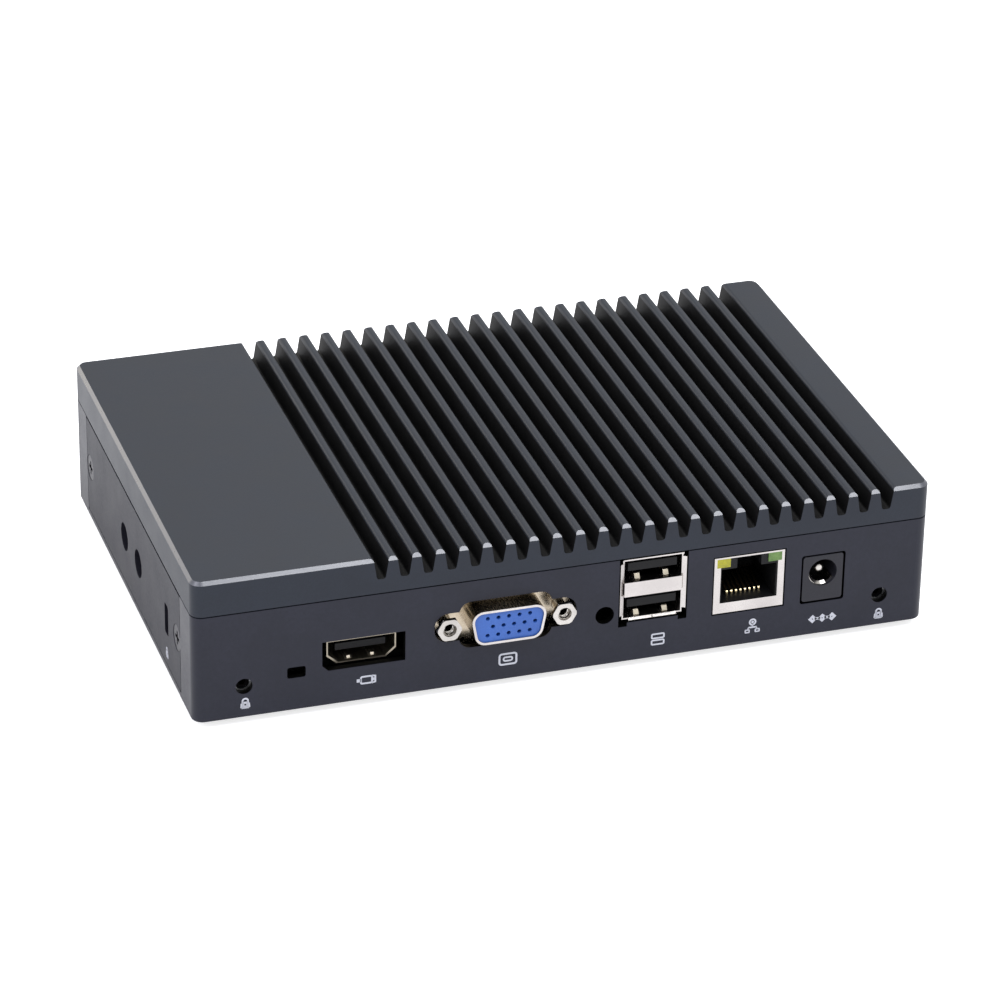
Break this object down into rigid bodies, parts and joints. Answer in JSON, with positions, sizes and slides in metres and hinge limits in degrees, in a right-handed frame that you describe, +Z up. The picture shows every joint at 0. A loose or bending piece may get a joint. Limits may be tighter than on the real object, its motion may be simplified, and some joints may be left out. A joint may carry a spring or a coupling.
{
  "type": "point of sale computer",
  "caption": "Fanless counter computer: finned black heat-sink cover on a shallow tub with inset side panels, video, data, network and power sockets in front, and a sprung power button behind.",
  "frame": {"origin": "centre of the overall box on the plane that the rubber feet stand on", "axes": "+X to the right seen from the sockets, +Y to the back, +Z up; the sockets face -Y"},
  "size_m": [0.1608, 0.108, 0.0345],
  "materials": {
    "black_anodised_aluminium": "fine-blasted, black anodised, satin",
    "black_coated_tub": "smooth dark powder coat, satin",
    "black_coated_panel": "smooth dark coat, matt",
    "black_zinc_screw": "black zinc",
    "foot_rubber": "matt",
    "circuit_board": "black solder mask",
    "chip_package": "moulded epoxy",
    "black_insulator": "moulded",
    "white_insulator": "moulded",
    "blue_insulator": "moulded",
    "tinned_shell": "bright tin plate",
    "gilt_contact": "gold flash",
    "steel_fastener": "zinc plated",
    "bare_aluminium": "sawn and milled",
    "thermal_rubber": "soft pad",
    "cell_steel": "polished can",
    "yellow_lens": "tinted lens, unlit",
    "green_lens": "tinted lens, unlit",
    "clear_pipe": "clear moulding",
    "button_plastic": "moulded"
  },
  "bodies": {
    "case": {"heatsink_cover": "black_anodised_aluminium", "lower_case": "black_coated_tub", "left_side_panel": "black_coated_panel", "right_side_panel": "black_coated_panel", "side_panel_screws": "black_zinc_screw", "base_screws": "black_zinc_screw", "lock_screws": "black_zinc_screw", "rubber_feet": "foot_rubber", "mainboard": "circuit_board", "board_screws": "steel_fastener", "processor": "chip_package", "thermal_pad": "thermal_rubber", "heat_block": "bare_aluminium", "heat_block_screws": "steel_fastener", "memory_chips": "chip_package", "corner_blocks": "bare_aluminium", "storage_card": "circuit_board", "storage_socket": "black_insulator", "storage_spacer": "steel_fastener", "storage_screw": "steel_fastener", "coin_cell_holder": "black_insulator", "coin_cell": "cell_steel", "power_chokes": "chip_package", "capacitors": "bare_aluminium", "controller_chip": "chip_package", "network_transformer": "chip_package", "power_switch": "black_insulator", "status_light_pipe": "clear_pipe", "status_light": "white_insulator", "digital_video_shell": "tinned_shell", "digital_video_insert": "black_insulator", "analogue_video_shell": "tinned_shell", "analogue_video_insulator": "blue_insulator", "analogue_video_body": "black_insulator", "jack_nuts": "steel_fastener", "twin_data_shell": "tinned_shell", "twin_data_insulator": "black_insulator", "twin_data_base": "black_insulator", "network_shell": "tinned_shell", "network_insulator": "black_insulator", "link_light": "yellow_lens", "activity_light": "green_lens", "network_contacts": "gilt_contact", "power_jack_body": "black_insulator", "power_jack_pin": "steel_fastener", "power_jack_spring": "steel_fastener"},
    "button": {"power_button": "button_plastic", "switch_plunger": "black_insulator"}
  },
  "joints": [
    {"name": "button_press", "type": "slide", "parent": "case", "child": "button", "axis": [0, -1, 0], "range_m": [0, 0.0005], "stiffness_N_per_m": 1500, "springref_m": -0.0003}
  ]
}
